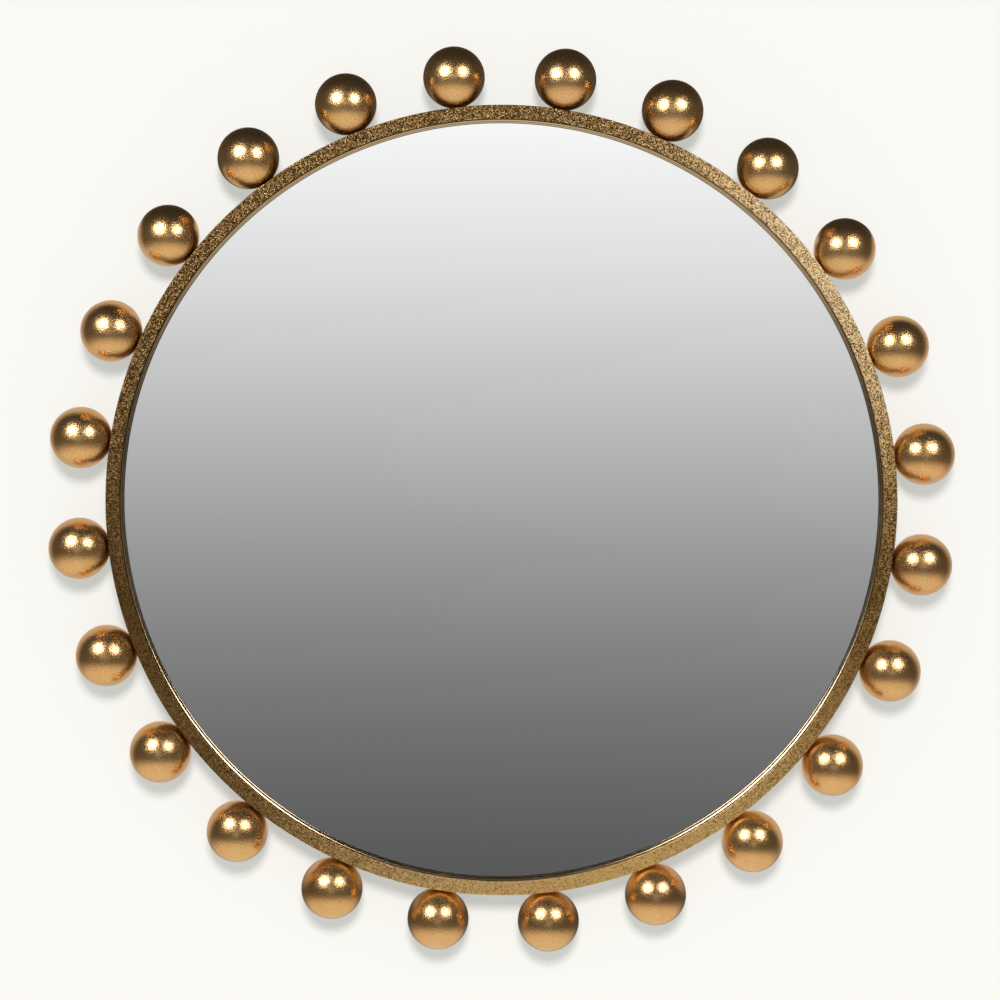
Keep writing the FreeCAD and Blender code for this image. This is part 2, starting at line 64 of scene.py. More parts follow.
ahead = np.array((0.0, math.cos(TILT), -math.sin(TILT)))
level = np.array((1.0, 0.0, 0.0))
upward = np.array((0.0, math.sin(TILT), math.cos(TILT)))
right = level * math.cos(ROLL) + upward * math.sin(ROLL)
upright = upward * math.cos(ROLL) - level * math.sin(ROLL)
to_ring = RING_FRONT - EYE
depth = to_ring @ ahead
lens_ratio = PIXELS_PER_METRE * depth / FRAME_PIXELS
camera = bpy.data.objects.new("camera", bpy.data.cameras.new("camera"))
camera.data.sensor_fit = "HORIZONTAL"
camera.data.sensor_width = SENSOR_MM
camera.data.lens = SENSOR_MM * lens_ratio
camera.data.shift_x = lens_ratio * (to_ring @ right) / depth + 0.5 - RING_FRONT_IN_FRAME[0]
camera.data.shift_y = lens_ratio * (to_ring @ upright) / depth + 0.5 - RING_FRONT_IN_FRAME[1]
camera.data.clip_start, camera.data.clip_end = NEAREST, FARTHEST
camera.matrix_world = standing(right, upright, -ahead, EYE)
scene.collection.objects.link(camera)
scene.camera = camera


# ---------------------------------------------------------------- room
# The room is dark overhead and pale below, and a shaded card stands straight ahead of the glass.
# Only the balls, the gold and the glass show them: the camera sees plain pale air, and matt things
# get an even soft light.
class Shade:
    """A node's output. Arithmetic on it adds the Math nodes that work it out."""

    def __init__(self, finish, socket):
        self.finish, self.socket = finish, socket

    def maths(self, operation, first, second):
        return self.finish.node("ShaderNodeMath", {"operation": operation}, {0: first, 1: second})

    def __add__(self, other):
        return self.maths("ADD", self, other)

    def __radd__(self, other):
        return self.maths("ADD", other, self)

    def __sub__(self, other):
        return self.maths("SUBTRACT", self, other)

    def __rsub__(self, other):
        return self.maths("SUBTRACT", other, self)

    def __mul__(self, other):
        return self.maths("MULTIPLY", self, other)

    def __rmul__(self, other):
        return self.maths("MULTIPLY", other, self)

    def __truediv__(self, other):
        return self.maths("DIVIDE", self, other)

    def __rtruediv__(self, other):
        return self.maths("DIVIDE", other, self)

    def __pow__(self, other):
        return self.maths("POWER", self, other)

    def __rpow__(self, other):
        return self.maths("POWER", other, self)


class Finish:
    """The nodes of one finish. node() adds one: its settings go in first, then its sockets. The
    other methods are short forms of it."""

    def __init__(self, owner):
        self.owner = owner
        owner.use_nodes = True
        self.tree = owner.node_tree
        self.tree.nodes.clear()

    def node(self, kind, settings=None, sockets=None, out=0):
        made = self.tree.nodes.new(kind)
        for name, value in (settings or {}).items():
            if name == "stops":
                self.set_stops(made.color_ramp, value)
            elif name == "ease":
                made.color_ramp.interpolation = value
            else:
                setattr(made, name, value)
        for name, value in (sockets or {}).items():
            if isinstance(value, Shade):
                self.tree.links.new(value.socket, made.inputs[name])
            else:
                made.inputs[name].default_value = value
        return Shade(self, made.outputs[out]) if made.outputs else None

    @staticmethod
    def set_stops(ramp, stops):
        """Gives a ramp its stops, each a place and a grey or a colour."""
        while len(ramp.elements) > 1:
            ramp.elements.remove(ramp.elements[-1])
        for number, (place, tone) in enumerate(stops):
            stop = ramp.elements[0] if number == 0 else ramp.elements.new(place)
            stop.position = place
            stop.color = (tone, tone, tone, 1) if isinstance(tone, float) else (*tone, 1)

    def spot(self):
        """Where a point lies on its piece, in metres."""
        return self.node("ShaderNodeTexCoord", out="Object")

    def part(self, whole, name):
        """One part of a vector, X to Z, or of a colour, Red to Blue."""
        kind = "ShaderNodeSeparateXYZ" if name in "XYZ" else "ShaderNodeSeparateColor"
        return self.node(kind, {}, {0: whole}, out=name)

    def mix(self, amount, first, second, blend="MIX"):
        """Mixes two colours through a Mix node."""
        first, second = (
            (*c, 1) if isinstance(c, tuple) and len(c) == 3 else c for c in (first, second)
        )
        return self.node(
            "ShaderNodeMix",
            {"data_type": "RGBA", "blend_type": blend, "clamp_factor": True},
            {0: amount, 6: first, 7: second},
            out=2,
        )

    def scaled(self, tone, amount):
        """A colour times a worked-out amount, through Vector Math."""
        return self.node("ShaderNodeVectorMath", {"operation": "SCALE"}, {0: tone, "Scale": amount})

    def ramp(self, value, stops, ease="LINEAR"):
        return self.node("ShaderNodeValToRGB", {"stops": stops, "ease": ease}, {0: value})

    def noise(self, vector, scale, detail, roughness=0.5):
        sockets = {"Vector": vector, "Scale": scale, "Detail": detail, "Roughness": roughness}
        return self.node("ShaderNodeTexNoise", {}, sockets)

    def cells(self, vector, scale, out):
        """Cells round scattered points: a Color for each, or the Distance from its point."""
        sockets = {"Vector": vector, "Scale": scale}
        return self.node("ShaderNodeTexVoronoi", {"feature": "F1"}, sockets, out=out)

    def bump(self, relief, strength, distance):
        sockets = {"Strength": strength, "Distance": distance, "Height": relief}
        return self.node("ShaderNodeBump", {}, sockets)

    def shown(self, surface):
        """Ends the finish with its surface, and gives back the material."""
        self.node("ShaderNodeOutputMaterial", {}, {"Surface": surface})
        return self.owner

    def principled(self, sockets):
        return self.shown(self.node("ShaderNodeBsdfPrincipled", {}, sockets))


def lin(red, green, blue):
    """The linear colour of a screen colour given in 0-255 steps."""
    return tuple(
        c / 12.92 if c <= 0.04045 else ((c + 0.055) / 1.055) ** 2.4
        for c in (red / 255, green / 255, blue / 255)
    )


PALE = lin(248, 247, 242)
SOFT_FILL = (0.62, 0.62, 0.62)
ROOM_TINT = (1.0, 0.92, 0.86)
# What the glass and the balls reflect, as (sine of the height above eye level, brightness): the
# room all round, and the shaded card straight ahead that gives the glass its grey sweep.
ROOM = [
    (-1.00, 0.82), (-0.80, 0.82), (-0.62, 0.70), (-0.48, 0.36), (-0.36, 0.15), (-0.25, 0.095),
    (0.00, 0.09), (0.20, 0.08), (0.45, 0.05), (0.75, 0.02), (1.00, 0.02),
]
CARD = [
    (-1.00, 0.82), (-0.80, 0.82), (-0.62, 0.70), (-0.48, 0.36), (-0.36, 0.15), (-0.25, 0.088),
    (-0.200, 0.107), (-0.175, 0.138), (-0.150, 0.178), (-0.120, 0.242), (-0.085, 0.342),
    (-0.050, 0.474), (-0.015, 0.617), (0.016, 0.752), (0.042, 0.855), (0.060, 0.922),
    (0.073, 0.985), (0.085, 0.985), (0.11, 0.15), (0.30, 0.07), (0.75, 0.02), (1.00, 0.02),
]
# The card's edges, by the square of how far to the side a direction points.
CARD_EDGE = [(0.021, 1.0), (0.036, 0.0)]

world = bpy.data.worlds.new("studio")
scene.world = world
room = Finish(world)
direction = room.node("ShaderNodeTexCoord", out="Generated")
sideways = room.part(direction, "X")
height = room.part(direction, "Z") * 0.5 + 0.5
all_round = room.ramp(height, [((z + 1) / 2, tone) for z, tone in ROOM])
on_card = room.ramp(height, [((z + 1) / 2, tone) for z, tone in CARD])
card_width = room.ramp(sideways * sideways, CARD_EDGE, "EASE")
reflected = room.mix(card_width, room.mix(1.0, all_round, ROOM_TINT, "MULTIPLY"), on_card)
by_camera = room.node("ShaderNodeLightPath", out="Is Camera Ray")
by_metal = room.node("ShaderNodeLightPath", out="Is Glossy Ray")
colour = room.mix(by_camera, room.mix(by_metal, SOFT_FILL, reflected), PALE)
background = room.node("ShaderNodeBackground", {}, {"Color": colour, "Strength": 1.0})
room.node("ShaderNodeOutputWorld", {}, {"Surface": background})


# ---------------------------------------------------------------- lamps
# Two round soft boxes stand in front, left and right above eye height, and light the bright metal
# alone. A stronger key lamp in the middle lights the matt things and gives the soft drop shadows.
def lamp(name, azimuth, elevation, distance, radius, radiance, colour, shines_on):
    """A round soft lamp that faces the mirror from a bearing and a height in degrees, with the
    radiance that its disc shows. It shines on bright metal or on the pale studio, so that each can
    have the light that suits it."""
    disc = bpy.data.lights.new(name, "AREA")
    disc.shape = "DISK"
    disc.size = 2 * radius
    disc.energy = radiance * math.pi * math.pi * radius**2
    disc.color = colour
    turn, rise = math.radians(azimuth), math.radians(elevation)
    out = math.cos(rise)
    back = np.array((math.sin(turn) * out, -math.cos(turn) * out, math.sin(rise)))
    side = np.cross((0, 0, 1), back)
    side /= np.linalg.norm(side)
    stand = bpy.data.objects.new(name, disc)
    stand.matrix_world = standing(side, np.cross(back, side), back, back * distance)
    stand.visible_diffuse = shines_on == "studio"
    stand.visible_glossy = shines_on == "metal"
    scene.collection.objects.link(stand)


METAL_LAMPS = {"elevation": 27, "distance": 2.6, "radiance": 10.6, "shines_on": "metal"}
METAL_TINT, KEY_TINT = (1.0, 0.98, 1.08), (1.0, 0.943, 0.957)
KEY_ELEVATION, KEY_DISTANCE = 22.6, 4.2
lamp("left_lamp", azimuth=-36, radius=0.60, colour=METAL_TINT, **METAL_LAMPS)
lamp("right_lamp", azimuth=34, radius=0.51, colour=METAL_TINT, **METAL_LAMPS)
lamp(
    "key_lamp", azimuth=0, elevation=KEY_ELEVATION, distance=KEY_DISTANCE, radius=0.48,
    radiance=154.0, colour=KEY_TINT, shines_on="studio",
)


# ---------------------------------------------------------------- floor
# A wide matt floor of pale sealed screed, 0.8 m below the mirror's middle. It meets the foot of the
# hanging board, and bright metal doesn't show it.
def skin(name, grid, closed=False):
    """A surface through an array of points [u, v, xyz]: each cell becomes one four-sided face. In a
    closed one the last row joins the first, and so does the last column."""
    rows, columns = grid.shape[:2]
    u = np.arange(rows if closed else rows - 1)[:, None]
    v = np.arange(columns if closed else columns - 1)[None, :]
    u2, v2 = (u + 1) % rows, (v + 1) % columns
    corners = [u * columns + v, u2 * columns + v, u2 * columns + v2, u * columns + v2]
    faces = np.stack([np.broadcast_to(c, (u.size, v.size)) for c in corners], -1).reshape(-1, 4)
    return shell(name, grid.reshape(-1, 3), faces, closed)


def shell(name, points, faces, closed=True):
    """A mesh object from an array of points and an array of four-sided faces. A closed one has its
    faces turned outwards by the sign of the volume they close; an open one keeps them as they run."""
    a, b, c, d = (points[faces[:, i]] for i in range(4))
    volume = np.einsum("ij,ij->", a, np.cross(b, c)) + np.einsum("ij,ij->", a, np.cross(c, d))
    if closed and volume < 0:
        faces = faces[:, ::-1]
    mesh = bpy.data.meshes.new(name)
    mesh.vertices.add(len(points))
    mesh.vertices.foreach_set("co", np.ascontiguousarray(points, np.float32).ravel())
    mesh.loops.add(faces.size)
    mesh.loops.foreach_set("vertex_index", np.ascontiguousarray(faces, np.int32).ravel())
    mesh.polygons.add(len(faces))
    mesh.polygons.foreach_set("loop_start", np.arange(0, faces.size, 4, dtype=np.int32))
    mesh.polygons.foreach_set("use_smooth", np.ones(len(faces), bool))
    mesh.update(calc_edges=True)
    mesh.validate()
    piece = bpy.data.objects.new(name, mesh)
    scene.collection.objects.link(piece)
    return piece


def flat_sheet(name, corner, across, along):
    """A flat four-cornered sheet: the corner plus u times one edge plus v times the other."""
    corner, across, along = (np.array(p, float) for p in (corner, across, along))
    u, v = np.meshgrid((0.0, 1.0), (0.0, 1.0), indexing="ij")
    return skin(name, corner + u[..., None] * across + v[..., None] * along)


def pale_paint(paint, own_light, paleness):
    """A matt pale paint that also gives a little of its own light, so that it stays even. Both
    colours may be worked out over the surface."""
    matt = paint.node("ShaderNodeBsdfDiffuse", {}, {"Color": paleness})
    glow = paint.node("ShaderNodeEmission", {}, {"Color": own_light, "Strength": 1.0})
    return paint.node("ShaderNodeAddShader", {}, {0: matt, 1: glow})


FLOOR_Z, FLOOR_SIDE = -0.80, 16
FLOOR_OWN, FLOOR_PALENESS, FLOOR_GRAIN = 0.80, 0.088, 0.004
floor = flat_sheet(
    "floor",
    (-FLOOR_SIDE / 2, -FLOOR_SIDE / 2, FLOOR_Z),
    (FLOOR_SIDE, 0, 0),
    (0, FLOOR_SIDE, 0),
)
paint = Finish(bpy.data.materials.new("pale_floor"))
grain = paint.noise(paint.spot(), scale=3.0, detail=2.0) * FLOOR_GRAIN
own_light = paint.scaled(PALE, FLOOR_OWN + grain)
paleness = paint.scaled(PALE, FLOOR_PALENESS + grain)
floor.data.materials.append(paint.shown(pale_paint(paint, own_light, paleness)))
floor.visible_glossy = False


# ---------------------------------------------------------------- hanging board
# A painted board, on which the mirror hangs. It shows only from in front, so that the mirror's back
# can be looked at through it. Its paint is graded against the key lamp's fall-off, to read as one
# even tone with soft shadows.
BOARD_Y, BOARD_WIDTH, BOARD_HEIGHT = 0.0335, 3.2, 2.4
BOARD_OWN, BOARD_PALENESS, BOARD_GRADE = (0.475, 0.490, 0.463), 0.2, 0.27
KEY_BACK = KEY_DISTANCE * math.cos(math.radians(KEY_ELEVATION))
KEY_UP = KEY_DISTANCE * math.sin(math.radians(KEY_ELEVATION))


def key_fade(paint):
    """How much farther and more slanting the key lamp is than at the middle: 1 there, more away.
    It is gap to the fourth / ((D^2 - z times its height) times D^2), for a lamp D away."""
    x, z = (paint.part(paint.spot(), axis) for axis in "XZ")
    gap = x * x + (z - KEY_UP) * (z - KEY_UP) + (KEY_BACK + BOARD_Y) ** 2
    return gap * gap / ((KEY_DISTANCE**2 - z * KEY_UP) * KEY_DISTANCE**2)


board = flat_sheet(
    "hanging_board",
    (-BOARD_WIDTH / 2, BOARD_Y, FLOOR_Z),
    (BOARD_WIDTH, 0, 0),
    (0, 0, BOARD_HEIGHT),
)
paint = Finish(bpy.data.materials.new("pale_board"))
fade = key_fade(paint)
own_light = paint.scaled(BOARD_OWN, 1 + BOARD_GRADE - fade * BOARD_GRADE)
surface = pale_paint(paint, own_light, paint.scaled(PALE, fade * BOARD_PALENESS))
behind = paint.node("ShaderNodeNewGeometry", out="Backfacing")
clear = paint.node("ShaderNodeBsdfTransparent")
one_sided = paint.node("ShaderNodeMixShader", {}, {0: behind, 1: surface, 2: clear})
board.data.materials.append(paint.shown(one_sided))
board.visible_diffuse = board.visible_glossy = board.visible_transmission = False
board.visible_shadow = False


# ---------------------------------------------------------------- rear card
# Behind the balls stands a pale card that only bright metal reflects. It gives the balls their pale
# rims. It ends below the top of the mirror and above its foot, where the balls stay dark to the edge.
REAR_CARD_Y, REAR_CARD_TOP = 0.034, 0.28
REAR_CARD_LIGHT = (0.66, 0.60, 0.56, 1)
ROUND_THE_RING = [(0.365, 0.0), (0.375, 1.0), (0.465, 1.0), (0.56, 0.0)]
ABOVE_THE_FOOT = [(0.60, 0.0), (0.67, 1.0)]
card = flat_sheet(
    "rear_card",
    (-BOARD_WIDTH / 2, REAR_CARD_Y, FLOOR_Z),
    (BOARD_WIDTH, 0, 0),
    (0, 0, REAR_CARD_TOP - FLOOR_Z),
)
paint = Finish(bpy.data.materials.new("rear_card"))
spot = paint.spot()
from_axis = paint.node("ShaderNodeVectorMath", {"operation": "LENGTH"}, {0: spot}, out="Value")
lit = paint.ramp(from_axis, ROUND_THE_RING) * paint.ramp(paint.part(spot, "Z") + 1.0, ABOVE_THE_FOOT)
glow = paint.node("ShaderNodeEmission", {}, {"Color": REAR_CARD_LIGHT, "Strength": 1.0})
clear = paint.node("ShaderNodeBsdfTransparent")
partly_lit = paint.node("ShaderNodeMixShader", {}, {0: lit, 1: clear, 2: glow})
card.data.materials.append(paint.shown(partly_lit))
card.visible_camera = card.visible_diffuse = card.visible_transmission = False
card.visible_shadow = False


# ---------------------------------------------------------------- frame ring
# A 24 by 13.5 mm steel angle rolled to a 770 mm circle, welded and dressed, then sprayed with a
# coarse gold glitter lacquer. Its flat leg faces the room, its other leg is the wall of the case.
MM = 0.001
TURNS = 720
SHARP_STEPS, ROUND_STEPS, ROUND_FROM, SUPPORT = 4, 9, 0.5, 0.12


def rolled(name, profile):
    """A closed profile of (radius, depth) points in mm carried round the mirror's axis:
    x = r sin a, y = depth, z = r cos a."""
    profile = np.asarray(profile, float) * MM
    angle = math.tau * np.arange(TURNS) / TURNS
    r, y, a = profile[None, :, 0], profile[None, :, 1], angle[:, None]
    y = np.broadcast_to(y, (TURNS, len(profile)))
    return skin(name, np.stack([r * np.sin(a), y, r * np.cos(a)], -1), closed=True)


def eased(corners):
    """A closed outline of right-angled (r, y, rounding) corners, gone round in order. Each corner
    becomes an arc of its rounding, with a close support point on each side that keeps the flats
    flat."""
    points = []
    count = len(corners)
    for i, (r, y, rounding) in enumerate(corners):
        here = np.array((r, y))
        before = np.array(corners[i - 1][:2]) - here
        after = np.array(corners[(i + 1) % count][:2]) - here
        before, after = before / np.linalg.norm(before), after / np.linalg.norm(after)
        hub = here + rounding * (before + after)
        steps = ROUND_STEPS if rounding > ROUND_FROM else SHARP_STEPS
        turn = np.radians(np.linspace(0, 90, steps))[:, None]
        points.append((here + before * (rounding + SUPPORT))[None])
        points.append(hub - after * rounding * np.cos(turn) - before * rounding * np.sin(turn))
        points.append((here + after * (rounding + SUPPORT))[None])
    return np.concatenate(points)


def ring_place(finish):
    """Object coordinates, how far right and up a point lies round the ring, each from -1 to 1, and
    its distance from the axis in mm."""
    spot = finish.spot()
    x, z = finish.part(spot, "X"), finish.part(spot, "Z")
    away = (x * x + z * z) ** 0.5
    return spot, x / away, z / away, away / MM


def lobe(across, up, bearing, sharpness):
    """1 at one bearing round the ring, falling smoothly to 0 a quarter turn away. Bearings run in
    degrees from the right hand, over the top."""
    a = math.radians(bearing)
    towards = across * math.cos(a) + up * math.sin(a)
    return across.maths("MAXIMUM", towards, 0.0) ** sharpness


# Painted highlights and painted shade round the ring, as (bearing, strength, sharpness), on top of an
# even wear.
EVEN_WEAR = 0.237
PAINTED_LIGHT_BY_BEARING = [(182, -0.05, 3.0), (33, 1.00, 11.5), (215, 0.07, 30.0), (285, 1.50, 4.4)]
# Where the gold is painted warmer, with the painted highlight at the foot and more broadly low on the
# right: (bearing, sharpness, tint).
WARM_PAINTED_LIGHT = [(285, 4.4, (1.0, 0.90, 0.70)), (320, 1.0, (1.0, 0.97, 0.84))]
FLAKE_TONES = [
    (0.00, (0.030, 0.016, 0.005)), (0.14, (0.120, 0.064, 0.018)), (0.34, (0.37, 0.225, 0.078)),
    (0.62, (0.68, 0.450, 0.180)), (1.00, (0.98, 0.765, 0.410)),
]


def glitter_gold():
    """Gold flakes in a brown-gold lacquer, each tilted its own way: coarse and dark over the top and the
    left, finer and paler below. Painted highlights make it brightest at the foot and at the upper right,
    and a little painted shade lies on the left."""
    gold = Finish(bpy.data.materials.new("ring_gold"))
    spot, across, up, _ = ring_place(gold)
    flake = gold.cells(spot, scale=1150.0, out="Color")
    pick, lift = gold.part(flake, "Red"), gold.part(flake, "Green")
    grain = gold.noise(spot, scale=1500.0, detail=2.0, roughness=0.6)
    patch = gold.noise(spot, scale=26.0, detail=3.0)
    coarse = gold.ramp(up + across * 0.05 + patch * 0.3 + 0.20, [(0.0, 0.0), (0.45, 1.0)])
    wear_and_painted_light = EVEN_WEAR + up * 0.02
    # Painted highlights and painted shade are added here, by bearing round the ring.
    for bearing, strength, sharpness in PAINTED_LIGHT_BY_BEARING:
        wear_and_painted_light = wear_and_painted_light + strength * lobe(across, up, bearing, sharpness)
    wear_and_painted_light = wear_and_painted_light * (0.88 + patch * 0.24)
    speckle = grain * 0.6 + pick * 0.4
    spark = gold.ramp(pick, [(0.80, 0.0), (0.94, 1.0)]) * coarse
    bright = wear_and_painted_light * (0.68 + (speckle - 0.5) * (2.4 + coarse * 2.6)) + spark * 0.26
    tone = gold.ramp(bright, FLAKE_TONES)
    # A painted warmer tint that goes with the painted highlight at the foot.
    for bearing, sharpness, tint in WARM_PAINTED_LIGHT:
        tone = gold.mix(lobe(across, up, bearing, sharpness), tone, tint, "MULTIPLY")
    return gold.principled({
        "Base Color": tone,
        "Metallic": 1.0,
        "Roughness": 0.36 + pick * 0.14,
        "Normal": gold.bump(grain * 0.5 + lift * 0.5, strength=0.6, distance=0.0005),
    })


RING_R, WALL_R, FACE_R = 385.0, 382.5, 371.5
FACE_Y, FLANGE_BACK_Y, RING_BACK_Y = -12.0, -9.0, 12.0
ring = rolled(
    "gold_ring",
    eased([
        (FACE_R, FACE_Y, 0.4), (RING_R, FACE_Y, 1.2), (RING_R, RING_BACK_Y, 0.4),
        (WALL_R, RING_BACK_Y, 0.4), (WALL_R, FLANGE_BACK_Y, 0.05), (FACE_R, FLANGE_BACK_Y, 0.2),
    ]),
)
ring.data.materials.append(glitter_gold())
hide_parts("frame_ring")
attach(ring, "mirror")


# ---------------------------------------------------------------- bead strip
# A thin strip rolled with a round nose and a foot, brazed behind the face. The nose stands between
# the face and the glass, with a fine groove outside it, and is polished to a brighter gold.
def arc(centre, radius, start, stop, steps):
    """Points (r, y) on a circle's arc between two angles in degrees:
    centre + radius (cos angle, sin angle)."""
    angle = np.radians(np.linspace(start, stop, steps))
    return np.stack([centre[0] + radius * np.cos(angle), centre[1] + radius * np.sin(angle)], -1)


# Painted shade lines on the strip, each from a radius in mm outwards, as (mm past it, how dark): in and
# beside the groove outside the nose, along the nose where a fine groove would throw shade, and beside
# the glass.
PAINTED_SHADE_LINES = [
    (370.5, [(0.1, 0.0), (0.6, 1.0)]),
    (369.0, [(0.0, 0.0), (0.2, 0.85), (0.45, 0.85), (0.65, 0.0)]),
    (367.7, [(0.2, 0.85), (0.6, 0.0)]),
]
PAINTED_SHADE_TONE = (0.075, 0.045, 0.020)


def bright_gold():
    """Smooth lacquered gold with a faint drawn grain, darkened by painted shade in and beside the groove
    outside the nose, in a line along the nose and beside the glass."""
    gold = Finish(bpy.data.materials.new("bead_gold"))
    spot, _, _, away = ring_place(gold)
    streak = gold.noise(spot, scale=480.0, detail=2.0)
    cloud = gold.noise(spot, scale=30.0, detail=2.0)
    tone = gold.mix(streak * 0.4 + cloud * 0.3, (0.70, 0.54, 0.31), (0.48, 0.35, 0.18))
    # Painted shade: dark lines at the groove, along the nose and beside the glass.
    for start, stops in PAINTED_SHADE_LINES:
        tone = gold.mix(gold.ramp(away - start, stops), tone, PAINTED_SHADE_TONE)
    return gold.principled({
        "Base Color": tone,
        "Metallic": 1.0,
        "Roughness": 0.16 + cloud * 0.08,
        "Normal": gold.bump(streak, strength=0.02, distance=0.0001),
    })


BEAD_OUTER_R, BEAD_INNER_R, BEAD_CREST_Y, BEAD_BACK_Y = 371.25, 367.8, -8.7, -3.3
FOOT_R, FOOT_BACK_Y, GROOVE_Y = 380.5, -5.5, -6.5
NOSE_R, NOSE_STEPS, CREST_EASE = 4.5, 22, 0.10
# The nose leans: its arc starts at the glass and ends on the crest, short of level.
LEAN = math.asin(1 - (BEAD_OUTER_R - CREST_EASE - BEAD_INNER_R) / NOSE_R)
nose_hub = (BEAD_INNER_R + NOSE_R, BEAD_CREST_Y + NOSE_R * math.cos(LEAN))
strip = eased([
    (BEAD_INNER_R, BEAD_CREST_Y, 0.0), (BEAD_OUTER_R, BEAD_CREST_Y, CREST_EASE),
    (BEAD_OUTER_R, GROOVE_Y, 0.02), (FACE_R, GROOVE_Y, 0.02), (FACE_R, FLANGE_BACK_Y, 0.05),
    (FOOT_R, FLANGE_BACK_Y, 0.2), (FOOT_R, FOOT_BACK_Y, 0.2), (BEAD_OUTER_R, FOOT_BACK_Y, 0.05),
    (BEAD_OUTER_R, BEAD_BACK_Y, 0.2), (BEAD_INNER_R, BEAD_BACK_Y, 0.05),
])
# The first corner only sets directions. Its points, and the next support point, give way to the arc.
GIVEN_WAY = SHARP_STEPS + 3
nose = arc(nose_hub, NOSE_R, 180, 270 - math.degrees(LEAN), NOSE_STEPS)[:-1]
bead = rolled("bead_strip_gold", np.concatenate([strip[GIVEN_WAY:], nose]))
bead.data.materials.append(bright_gold())
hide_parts("bead_strip")
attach(bead, "mirror")


# ---------------------------------------------------------------- balls
# 24 turned wooden balls of 60 mm, gilded with satin leaf that is rubbed through in fine specks, each
# drawn tight against the ring by a screw from inside. A small flat is cut where it meets the ring.
BALL_R, BALL_CIRCLE_R, BALLS = 30.0, 414.732, 24
FIRST_BALL, BALL_PITCH = 7.5, 15.0
SEAT_R = RING_R + 0.05
BALL_ROWS, BALL_SIDES = 44, 72


def ball_row(name):
    """Balls on a circle. On each, u goes from the front pole to the rear one and v round the axis
    between them: centre + R (sin u cos v, -cos u, sin u sin v). Points inside the ring move straight
    out to it, which cuts the flats."""
    sides = BALL_SIDES
    u = np.linspace(0, math.pi, BALL_ROWS + 1)[1:-1]
    v = np.arange(sides) * 2 * math.pi / sides
    body = np.stack([
        np.outer(np.sin(u), np.cos(v)),
        np.repeat(-np.cos(u)[:, None], sides, 1),
        np.outer(np.sin(u), np.sin(v)),
    ], -1).reshape(-1, 3)
    ball = np.concatenate([body, [[0, -1, 0], [0, 1, 0]]]) * BALL_R
    front, rear = len(body), len(body) + 1

    row, side = np.meshgrid(np.arange(BALL_ROWS - 2), np.arange(sides), indexing="ij")
    near, far, turn = row * sides, (row + 1) * sides, (side + 1) % sides
    quads = np.stack([near + side, near + turn, far + turn, far + side], -1).reshape(-1, 4)
    n = np.arange(0, sides, 2)
    last = (BALL_ROWS - 2) * sides
    caps = np.concatenate([
        np.stack([np.full_like(n, front), (n + 2) % sides, n + 1, n], -1),
        np.stack([np.full_like(n, rear), last + n, last + n + 1, last + (n + 2) % sides], -1),
    ])
    faces = np.concatenate([quads, caps])

    outward, y, along = ball[:, 0] + BALL_CIRCLE_R, ball[:, 1], ball[:, 2]
    inside = np.hypot(outward, along) < SEAT_R
    outward = np.where(inside, np.sqrt(SEAT_R**2 - along**2), outward)
    angle = np.radians(FIRST_BALL + BALL_PITCH * np.arange(BALLS))[:, None]
    points = np.stack([
        outward * np.cos(angle) - along * np.sin(angle),
        np.broadcast_to(y, (BALLS, len(ball))),
        outward * np.sin(angle) + along * np.cos(angle),
    ], -1).reshape(-1, 3) * MM
    every = (faces[None] + (np.arange(BALLS) * len(ball))[:, None, None]).reshape(-1, 4)
    return shell(name, points, every)


def satin_leaf():
    """Satin gold leaf with small dents, and brown specks where it is rubbed through."""
    leaf = Finish(bpy.data.materials.new("ball_gold"))
    spot = leaf.spot()
    speck = leaf.noise(spot, scale=900.0, detail=2.0, roughness=0.7)
    cloud = leaf.noise(spot, scale=60.0, detail=3.0)
    mark = leaf.cells(spot, scale=520.0, out="Distance")
    tone = leaf.mix(cloud, (0.82, 0.485, 0.185), (0.90, 0.565, 0.235))
    tone = leaf.mix(leaf.ramp(speck, [(0.55, 0.0), (0.72, 0.65)]), tone, (0.40, 0.20, 0.06))
    return leaf.principled({
        "Base Color": tone,
        "Metallic": 1.0,
        "Roughness": 0.19 + speck * 0.14,
        "Normal": leaf.bump(speck * 0.7 + mark * 0.3, strength=0.52, distance=0.0004),
    })


balls = ball_row("gilded_balls")
balls.data.materials.append(satin_leaf())
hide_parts("balls")
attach(balls, "mirror")


# ---------------------------------------------------------------- ball screws
# 24 pan-head wood screws of zinc-plated steel. Each goes from inside the wall through the ring and
# draws its ball tight, before the glass goes in.
def dress(node, material):
    """Gives a carried-over CAD node its finish."""
    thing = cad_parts[node]
    thing.data.materials.clear()
    thing.data.materials.append(material)


def plated(name, pale, dark, roughness, spangle):
    """Plated steel: crystals of the coating, a cloudy tarnish and fine scratches along the part."""
    steel = Finish(bpy.data.materials.new(name))
    spot = steel.spot()
    crystal = steel.part(steel.cells(spot, scale=spangle, out="Color"), "Red")
    cloud = steel.noise(spot, scale=110.0, detail=4.0)
    drawn = steel.node("ShaderNodeMapping", {}, {"Vector": spot, "Scale": (1.0, 1.0, 0.05)})
    scratch = steel.noise(drawn, scale=2400.0, detail=2.0)
    return steel.principled({
        "Base Color": steel.mix(crystal * 0.5 + cloud * 0.5, dark, pale),
        "Metallic": 1.0,
        "Roughness": roughness + cloud * 0.16 + scratch * 0.08,
        "Normal": steel.bump(scratch, strength=0.15, distance=0.0002),
    })


zinc_plate = plated("screw_steel", (0.74, 0.71, 0.62), (0.50, 0.48, 0.42), roughness=0.24, spangle=900.0)
dress("ball_screws", zinc_plate)


